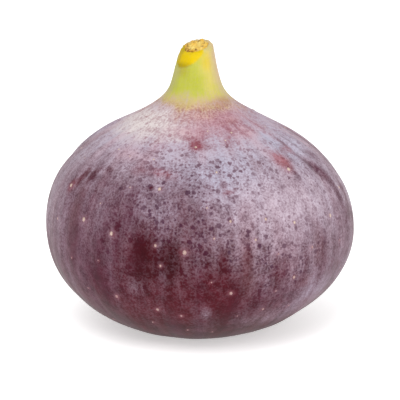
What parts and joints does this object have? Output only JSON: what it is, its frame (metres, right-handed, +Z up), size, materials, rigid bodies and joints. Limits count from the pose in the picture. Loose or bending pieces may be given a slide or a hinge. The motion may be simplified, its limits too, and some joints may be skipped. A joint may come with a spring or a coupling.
{
  "type": "fresh fig",
  "caption": "Whole fresh purple fig with a broad flattened body, short green neck and a cut stalk, standing on its eye end.",
  "frame": {"origin": "middle of the base of the bounding box, in the plane of the flat ring that the fig stands on", "axes": "+Z up through the neck and stalk; -Y towards the side that shows best"},
  "size_m": [0.056, 0.0554, 0.0525],
  "materials": {
    "skin": "satin",
    "stalk_cut": "matte",
    "eye_scales": "satin",
    "lenticels": "matte"
  },
  "bodies": {
    "root": {"fig": "skin"}
  },
  "joints": []
}
